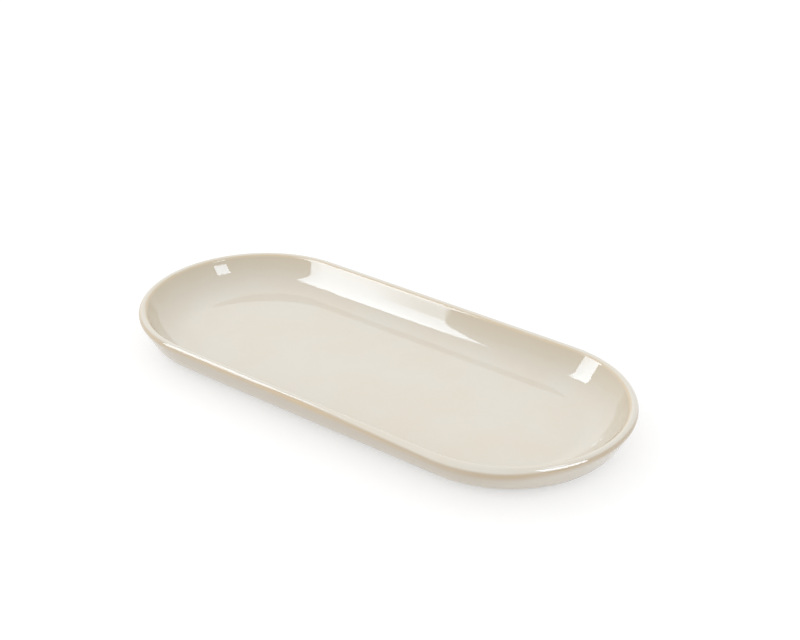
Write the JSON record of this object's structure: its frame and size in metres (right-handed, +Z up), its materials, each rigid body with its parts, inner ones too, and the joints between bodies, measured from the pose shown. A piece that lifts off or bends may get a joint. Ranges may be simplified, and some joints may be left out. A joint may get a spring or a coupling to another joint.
{
  "type": "oval serving dish",
  "caption": "Long shallow stoneware serving dish with straight sides, half-round ends, a rounded lip, a filleted well and a bare foot ring, coated in glossy cream glaze.",
  "frame": {"origin": "middle of the dish's footprint, on the plane that its foot ring rests on", "axes": "+X along the dish, +Y across it, +Z up out of the well"},
  "size_m": [0.318, 0.14, 0.022],
  "materials": {
    "bare_clay": "fired stoneware, bare on the foot ring, matt and fine grained",
    "inside_glaze": "glossy cream glaze that thins to tan over the lip's inner edge",
    "outside_glaze": "glossy cream glaze that thins to tan over the lip's outer edge",
    "base_glaze": "cream glaze, a little less glossy than inside"
  },
  "bodies": {
    "root": {"stoneware_body": "bare_clay", "inside_glaze": "inside_glaze", "outside_glaze": "outside_glaze", "base_glaze": "base_glaze"}
  },
  "joints": []
}
